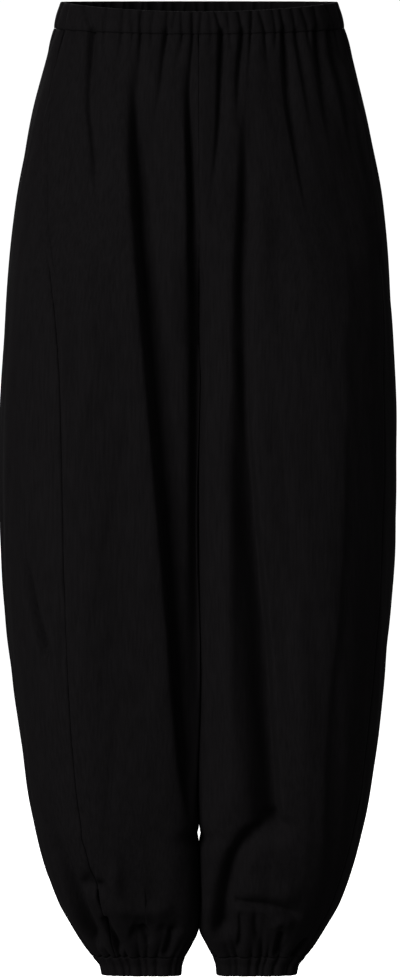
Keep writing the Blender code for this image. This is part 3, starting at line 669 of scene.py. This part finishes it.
def panel_points(side, face, grid):
    """The points of a leg panel, rows down and columns from the side seam to the inner edge."""
    steps, rows = grid
    first, last = WAIST_SEAM + SEAM_GAP, ANKLE_SEAM - SEAM_GAP
    t = np.linspace(0, 1, rows + 1)
    drops = first + (last - first) * (t - ROW_CROWD * np.sin(2 * np.pi * t) / (2 * np.pi))
    seams = side_seam(side, drops)
    edges = seams - face * SEAM_GAP / 2 / quarter_turn(side, seams, drops)
    share = np.linspace(0, 1, steps + 1)[None, :]
    around = edges[:, None] + share * (-face - edges[:, None])
    points = cloth(side, around, drops[:, None] + 0 * around)
    points[:, -1, 1] = face * np.maximum(face * points[:, -1, 1], SEAM_GAP / 2)
    return points


def leg_panels(context, word, face, grid):
    """The left and the right panel on one face of the legs."""
    material = cloth_material(context)
    for side, half in SIDES:
        piece = laid_grid(f"{word}_{half}_cloth", panel_points(side, face, grid), (side, 0, 0))
        yield finish_cloth(piece, LEG_CLOTH_WALL, material, f"{word}_{half}")


def casing_profile(top, seam, puff, wall):
    """A folded strip from the outer seam over the top edge and down inside: drops and depths inwards."""
    t = np.linspace(0, 1, CASING_STEPS)
    bulge = [sin(np.pi * (k * BULGE_LEAN)) ** BULGE_POWER for k in t[:-1]]
    outside = [(seam + (top - seam) * k, -puff * b) for k, b in zip(t, bulge)]
    turn = [
        (top - (EDGE_ROUND * sin(a)) * np.sign(seam - top), wall / 2 - wall / 2 * cos(a))
        for a in np.linspace(0, np.pi, EDGE_STEPS)
    ]
    inside = [(top + (seam - top) * k, wall + INNER_BULGE * puff * sin(np.pi * k)) for k in t[1:]]
    return outside + turn + inside


def ring_points(halves, profile):
    """Points of a casing: rows follow its profile, columns go round its halves (side and places)."""
    rows = []
    for drop, depth in profile:
        row = []
        for side, around in halves:
            places = np.full(len(around), float(drop))
            row.append(cloth(side, around, places) - depth * outward(side, around, places))
        rows.append(np.concatenate(row + [row[0][:1]]))
    return np.array(rows)


def casing(context, node, halves, profile, outwards):
    """A folded strip, closed to a ring."""
    piece = laid_grid(f"{node}_cloth", ring_points(halves, profile), outwards)
    edit_all(piece, bpy.ops.mesh.remove_doubles, threshold=JOIN_MM * MM)
    return finish_cloth(piece, CASING_CLOTH_WALL, cloth_material(context), node)


def pocket_points(side):
    """A bag folded along its edge nearest the middle: its two leaves lie inside the front panel."""
    drops = np.linspace(POCKET_TOP - BAG_ABOVE, POCKET_END + BAG_BELOW, BAG_STEPS)
    seams = side_seam(side, drops)
    reach = BAG_WIDTH
    for run, (length, width) in ((drops - drops[0], BAG_TOP), (drops[-1] - drops, BAG_FOOT)):
        reach = reach * (width + (1 - width) * ease(run / length) ** 0.5)
    reach = reach / quarter_turn(side, seams + 0.1, drops)
    leaf = np.linspace(LEAF_START, 1, LEAF_STEPS)
    share = np.concatenate([leaf, leaf[::-1]])
    depth = np.repeat(LEAF_DEPTHS, LEAF_STEPS)
    around = seams[:, None] + share[None, :] * reach[:, None]
    places = drops[:, None] + 0 * around
    return cloth(side, around, places) - depth[None, :, None] * outward(side, around, places)


def stitch_line(side, around, drop, props):
    """A row of stitches on the cloth, from points closer together than the stitches."""
    points = cloth(side, around, drop)
    normals = outward(side, around, drop)
    runs = run_lengths(points, 0)
    pitch = props.pitch / MM
    at = np.arange(pitch, runs[-1] - pitch / 2, pitch)

    def along(at, values):
        return np.stack([np.interp(at, runs, values[:, k]) for k in range(3)], axis=-1)

    places = along(at, points) * MM
    return list(zip(places, along(at + STITCH_AHEAD, points) * MM - places, along(at, normals)))


def sewn(name, stitches, props, material):
    """One small rounded stitch, copied to each place and joined."""
    clear_selection()
    bpy.ops.mesh.primitive_uv_sphere_add(segments=8, ring_count=5, radius=0.5)
    first = bpy.context.object
    first.scale = (props.length, props.thickness, props.thickness * STITCH_FLATNESS)
    bpy.ops.object.transform_apply(location=False, rotation=False, scale=True)
    first.data.materials.append(material)
    bpy.ops.object.shade_smooth()
    copies = []
    for place, ahead, up in stitches:
        along = Vector(ahead).normalized()
        across = Vector(up).cross(along).normalized()
        above = along.cross(across)
        copy = first.copy()
        copy.data = first.data.copy()
        turn = Matrix((along, across, above)).transposed().to_4x4()
        turn.translation = Vector(place) + above * props.thickness * STITCH_LIFT
        copy.matrix_world = turn
        bpy.context.scene.collection.objects.link(copy)
        copies.append(copy)
    bpy.data.objects.remove(first)
    clear_selection()
    for copy in copies:
        copy.select_set(True)
    bpy.context.view_layer.objects.active = copies[0]
    bpy.ops.object.join()
    piece = bpy.context.object
    bpy.ops.object.transform_apply(location=True, rotation=True, scale=True)
    piece.name = piece.data.name = name
    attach(piece, "root")


# ---------------- materials

def set_inputs(made, inputs):
    """Gives a node's own sockets their numbers, or links them to the outputs given."""
    for name, value in inputs.items():
        if isinstance(value, bpy.types.NodeSocket):
            made.id_data.links.new(value, made.inputs[name])
        else:
            made.inputs[name].default_value = value


def node(tree, kind, place, output, inputs=None, **values):
    """A shader node with its settings and inputs; the output of that name is returned."""
    made = tree.nodes.new("ShaderNode" + kind)
    made.location = place
    for name, value in values.items():
        setattr(made, name, value)
    set_inputs(made, inputs or {})
    return made.outputs[output]


def new_material(name, numbers):
    """A material whose own shader has these uniform numbers."""
    material = bpy.data.materials.new(name)
    material.use_nodes = True
    shader = material.node_tree.nodes["Principled BSDF"]
    set_inputs(shader, numbers)
    return material, material.node_tree, shader


def shades(tree, place, share, colour, start, dark, light):
    """A ramp from a darker to a lighter shade of a colour."""
    made = node(tree, "ValToRGB", place, "Color", {"Fac": share})
    low, high = made.node.color_ramp.elements
    low.position = start
    low.color, high.color = ((*[c * part for c in colour], 1) for part in (dark, light))
    return made


def woven_cloth(name, colour, thread_mm):
    """Matt black woven cloth: threads over and under, uneven yarn and a faint worn bloom."""
    material, tree, shader = new_material(name, {
        "Roughness": 0.88, "Specular IOR Level": 0.03,
        "Sheen Weight": 0.004, "Sheen Roughness": 0.45, "Sheen Tint": (0.9, 0.88, 0.9, 1)})

    uv = node(tree, "UVMap", (-1500, 0), "UV", uv_map="cloth")
    scale = (1 / (2 * thread_mm * MM),) * 3
    threads = node(tree, "Mapping", (-1300, 0), "Vector", {"Vector": uv, "Scale": scale})
    warp, weft = (
        node(tree, "TexWave", (-1050, height), "Fac",
             {"Vector": threads, "Scale": 0.314, "Distortion": 0.4, "Detail": 1},
             bands_direction=direction, wave_profile="SIN")
        for direction, height in (("X", 200), ("Y", -100)))
    over = node(tree, "TexChecker", (-1050, -350), "Fac", {"Vector": threads, "Scale": 2})
    weave = node(tree, "Mix", (-800, 100), "Result",
                 {"Factor": over, "A": warp, "B": weft}, data_type="FLOAT")

    # Uneven yarn in long thin streaks down the cloth, and soft patches of a worn bloom
    place = node(tree, "TexCoord", (-1500, -700), "Object")
    streaks = node(tree, "Mapping", (-1300, -600), "Vector", {"Vector": place, "Scale": (480, 480, 36)})
    slub = node(tree, "TexNoise", (-1050, -600), "Fac", {"Vector": streaks, "Scale": 1, "Detail": 3})
    soft = node(tree, "TexNoise", (-1050, -900), "Fac",
                {"Vector": place, "Scale": 46, "Detail": 5, "Roughness": 0.6})

    def multiply_add(place, *inputs):
        return node(tree, "Math", place, "Value", dict(enumerate(inputs)), operation="MULTIPLY_ADD")

    tone = multiply_add((-560, -500), slub, 0.75, multiply_add((-800, -800), soft, 0.3, 0.35))
    relief = multiply_add((-560, 100), slub, 0.7, weave)
    fine = node(tree, "Bump", (-380, 60), "Normal",
                {"Height": relief, "Strength": 0.6, "Distance": 0.07 * MM})
    coarse = node(tree, "Bump", (-180, 0), "Normal",
                  {"Height": soft, "Normal": fine, "Strength": 0.35, "Distance": 0.5 * MM})
    black = shades(tree, (-380, -300), tone, colour, 0.5, 0.72, 1.45)
    set_inputs(shader, {"Base Color": black, "Normal": coarse})
    return material


def thread_material(name, colour):
    """Twisted sewing thread, a little smoother than the cloth."""
    material, tree, shader = new_material(name, {"Roughness": 0.8, "Specular IOR Level": 0.06})
    place = node(tree, "TexCoord", (-900, 0), "Object")
    twist = node(tree, "TexWave", (-650, 0), "Fac", {"Vector": place, "Scale": 900},
                 bands_direction="DIAGONAL")
    relief = node(tree, "Bump", (-400, -200), "Normal", {"Height": twist, "Distance": 0.08 * MM})
    black = shades(tree, (-400, 100), twist, colour, 0, 0.6, 1.4)
    set_inputs(shader, {"Base Color": black, "Normal": relief})
    return material


def cloth_material(context, name="black_woven_cloth", painted_shade=1.0):
    """The cloth of that name, made once; the last argument darkens its colour as a painted shade."""
    props = context.scene.trousers_cloth
    made = bpy.data.materials.get(name)
    return made or woven_cloth(name, [c * painted_shade for c in props.colour], props.thread_mm)


# ---------------- properties

class TrousersClothProps(bpy.types.PropertyGroup):
    colour: FloatVectorProperty(
        name="Cloth colour", description="Linear colour of the black cloth", subtype="COLOR",
        size=3, min=0, max=1, default=(0.0052, 0.0047, 0.0051))
    thread_mm: FloatProperty(
        name="Thread", description="Distance between threads in millimetres", default=0.55, min=0.2, max=2)


class TrousersStitchProps(bpy.types.PropertyGroup):
    length: FloatProperty(
        name="Stitch length", description="Length of one stitch", default=0.0026, unit="LENGTH", min=0.001)
    pitch: FloatProperty(
        name="Stitch pitch", description="Distance from stitch to stitch",
        default=0.0032, unit="LENGTH", min=0.001)
    thickness: FloatProperty(
        name="Thread thickness", description="Thickness of the thread",
        default=0.0005, unit="LENGTH", min=0.0001)
    colour: FloatVectorProperty(
        name="Thread colour", description="Linear colour of the thread", subtype="COLOR",
        size=3, min=0, max=1, default=(0.0052, 0.0048, 0.0052))


class TrousersStageProps(bpy.types.PropertyGroup):
    camera_distance: FloatProperty(
        name="Camera distance", description="From the camera to the trousers", default=14.0, unit="LENGTH")
    camera_rise: FloatProperty(
        name="Camera rise", description="How far the camera looks down",
        default=radians(2.4), subtype="ANGLE")
    floor_drop: FloatProperty(
        name="Floor drop", description="Floor below the hems", default=0.09, unit="LENGTH")
    key_power: FloatProperty(
        name="Key light", description="Power of the large left light", default=136, min=0)
    fill_power: FloatProperty(
        name="Fill light", description="Power of the right light", default=4, min=0)
    back_power: FloatProperty(
        name="Back light", description="Power of the light above and behind", default=135, min=0)
    side_power: FloatProperty(
        name="Side light", description="Power of the light at the left leg's side", default=11, min=0)
    sky: FloatProperty(
        name="Room light", description="Strength of the room's soft light", default=0.13, min=0)


# ---------------- operators

class TROUSERS_OT_fronts(bpy.types.Operator):
    """Builds the two front leg panels, with their long folds"""
    bl_idname = "trousers.fronts"
    bl_label = "Front panels"

    def execute(self, context):
        for piece in leg_panels(context, "front", -1, FRONT_GRID):
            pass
        return {"FINISHED"}


class TROUSERS_OT_backs(bpy.types.Operator):
    """Builds the two back leg panels"""
    bl_idname = "trousers.backs"
    bl_label = "Back panels"

    def execute(self, context):
        for piece in leg_panels(context, "back", 1, BACK_GRID):
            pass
        return {"FINISHED"}


class TROUSERS_OT_waist(bpy.types.Operator):
    """Builds the waist casing, a folded strip puckered by its elastic"""
    bl_idname = "trousers.waist"
    bl_label = "Waist casing"

    def execute(self, context):
        steps, puff, wall = WAIST_CASING
        around = np.linspace(-1, 1, steps + 1)
        halves = ((1, around[:-1]), (-1, around[:0:-1]))
        profile = casing_profile(WAIST_TOP, WAIST_SEAM, puff, wall)
        piece = casing(context, "waist_casing", halves, profile, (0, 1, 0))
        return {"FINISHED"}


class TROUSERS_OT_ankles(bpy.types.Operator):
    """Builds the two ankle casings"""
    bl_idname = "trousers.ankles"
    bl_label = "Ankle casings"

    def execute(self, context):
        steps, puff, wall = ANKLE_CASING
        profile = casing_profile(HEM, ANKLE_SEAM, puff, wall)
        around = np.linspace(-1, 1, FINE_STEPS)
        even = np.interp(np.linspace(-1, 1, steps + 1)[:-1], leg_turn(around), around)
        for side, half in SIDES:
            piece = casing(context, f"ankle_casing_{half}", ((side, even),), profile, (-side, 0, 0))
        return {"FINISHED"}


class TROUSERS_OT_pockets(bpy.types.Operator):
    """Builds the two pocket bags behind the side seams"""
    bl_idname = "trousers.pockets"
    bl_label = "Pocket bags"

    def execute(self, context):
        # The lining is the cloth darkened by a painted shade, because the inside of the pocket lies in
        # shade
        material = cloth_material(context, "pocket_lining", LINING_PAINTED_SHADE)
        for side, half in SIDES:
            piece = laid_grid(f"pocket_{half}_cloth", pocket_points(side), (side, -1, 0))
            finish_cloth(piece, POCKET_CLOTH_WALL, material, f"pocket_{half}")
        return {"FINISHED"}


class TROUSERS_OT_stitching(bpy.types.Operator):
    """Sews the casings and the pocket mouths"""
    bl_idname = "trousers.stitching"
    bl_label = "Stitching"

    def execute(self, context):
        props = context.scene.trousers_stitch
        material = thread_material("black_thread", props.colour)
        ring = np.linspace(-1, 1, RING_POINTS)
        waist = []
        for side, _ in SIDES:
            waist += stitch_line(side, ring, np.full(RING_POINTS, WAIST_SEAM - CASING_MARGIN), props)
        sewn("waist_stitching", waist, props, material)
        tack = np.linspace(TACK_START, MOUTH_MARGIN, TACK_POINTS)
        for side, half in SIDES:
            ankle = stitch_line(side, ring, np.full(RING_POINTS, ANKLE_SEAM + CASING_MARGIN), props)
            sewn(f"ankle_stitching_{half}", ankle, props, material)
            drops = np.linspace(POCKET_TOP, POCKET_END, MOUTH_POINTS)
            rows = [(MOUTH_MARGIN, drops)]
            for end in (POCKET_TOP, POCKET_END):
                rows += [(tack, np.full(TACK_POINTS, end + step)) for step in TACK_ROWS]
            mouth = []
            for margin, drops in rows:
                seams = side_seam(side, drops)
                edge = seams + margin / quarter_turn(side, seams, drops)
                mouth += stitch_line(side, edge, drops, props)
            sewn(f"pocket_stitching_{half}", mouth, props, material)
        return {"FINISHED"}


def add_room(scene, strength):
    """A white room that the camera sees brighter than it shines."""
    scene.world = bpy.data.worlds.new("studio")
    scene.world.use_nodes = True
    tree = scene.world.node_tree
    lit, white = tree.nodes["Background"], (1, 1, 1, 1)
    set_inputs(lit, {"Color": white, "Strength": strength})
    seen = node(tree, "Background", (0, -200), "Background",
                {"Color": white, "Strength": BACKDROP_STRENGTH})
    camera = node(tree, "LightPath", (0, 300), "Is Camera Ray")
    mix = node(tree, "MixShader", (250, 0), "Shader",
               {"Fac": camera, 1: lit.outputs["Background"], 2: seen})
    set_inputs(tree.nodes["World Output"], {"Surface": mix})


def add_light(scene, name, power):
    """A soft light, turned to the middle of the picture."""
    place, width, height = LIGHTS[name]
    light = bpy.data.lights.new(f"{name}_light", "AREA")
    light.shape, light.size, light.size_y, light.energy = "RECTANGLE", width, height, power
    lamp = bpy.data.objects.new(light.name, light)
    lamp.location = place
    aim = Vector(PICTURE_MIDDLE) - Vector(place)
    lamp.rotation_euler = aim.to_track_quat("-Z", "Y").to_euler()
    scene.collection.objects.link(lamp)


def add_camera(scene, distance, rise):
    """A camera that looks a little down at the middle of the picture."""
    camera = bpy.data.cameras.new("camera")
    camera.sensor_fit = "VERTICAL"
    camera.sensor_height = SENSOR_MM
    camera.lens = SENSOR_MM * distance / PICTURE_HEIGHT
    camera.clip_end = 100
    eye = bpy.data.objects.new("camera", camera)
    back = Vector((0, -cos(rise), sin(rise)))
    eye.location = Vector(PICTURE_MIDDLE) + back * distance
    eye.rotation_euler = (-back).to_track_quat("-Z", "Y").to_euler()
    scene.collection.objects.link(eye)
    scene.camera = eye


class TROUSERS_OT_stage(bpy.types.Operator):
    """Sets up the pale floor, the soft light and the camera"""
    bl_idname = "trousers.stage"
    bl_label = "Stage"

    def execute(self, context):
        scene = context.scene
        props = scene.trousers_stage
        clear_selection()
        place = (0, 0, -HEM * MM - props.floor_drop)
        bpy.ops.mesh.primitive_plane_add(size=FLOOR_SIZE, location=place)
        floor = bpy.context.object
        floor.name = "pale_floor"
        material, _, _ = new_material("pale_floor", {
            "Base Color": (0.9, 0.9, 0.9, 1), "Roughness": 0.9, "Specular IOR Level": 0.0,
            "Emission Color": (1, 1, 1, 1), "Emission Strength": 1.0})
        floor.data.materials.append(material)
        floor.visible_diffuse = floor.visible_glossy = False
        add_room(scene, props.sky)
        for name in LIGHTS:
            add_light(scene, name, getattr(props, f"{name}_power"))
        add_camera(scene, props.camera_distance, props.camera_rise)
        scene.view_settings.view_transform = "Standard"
        return {"FINISHED"}


class TROUSERS_PT_panel(bpy.types.Panel):
    bl_idname = "TROUSERS_PT_panel"
    bl_label = "Balloon Trousers"
    bl_space_type = "VIEW_3D"
    bl_region_type = "UI"
    bl_category = "Trousers"

    def draw(self, context):
        for name in PROPERTIES:
            props = getattr(context.scene, name)
            box = self.layout.box()
            for key in props.__annotations__:
                box.prop(props, key)
        for operator in OPERATORS:
            self.layout.operator(operator.bl_idname)


OPERATORS = (
    TROUSERS_OT_fronts, TROUSERS_OT_backs, TROUSERS_OT_waist, TROUSERS_OT_ankles,
    TROUSERS_OT_pockets, TROUSERS_OT_stitching, TROUSERS_OT_stage,
)
PROPERTIES = {
    "trousers_cloth": TrousersClothProps,
    "trousers_stitch": TrousersStitchProps,
    "trousers_stage": TrousersStageProps,
}


def register():
    for name, group in PROPERTIES.items():
        bpy.utils.register_class(group)
        setattr(bpy.types.Scene, name, PointerProperty(type=group))
    for shown in (*OPERATORS, TROUSERS_PT_panel):
        bpy.utils.register_class(shown)


def unregister():
    for shown in (TROUSERS_PT_panel, *reversed(OPERATORS)):
        bpy.utils.unregister_class(shown)
    for name, group in reversed(PROPERTIES.items()):
        delattr(bpy.types.Scene, name)
        bpy.utils.unregister_class(group)


def main():
    register()
    bpy.ops.trousers.fronts()
    bpy.ops.trousers.backs()
    bpy.ops.trousers.waist()
    bpy.ops.trousers.ankles()
    bpy.ops.trousers.pockets()
    bpy.ops.trousers.stitching()
    bpy.ops.trousers.stage()


if __name__ == "__main__":
    main()
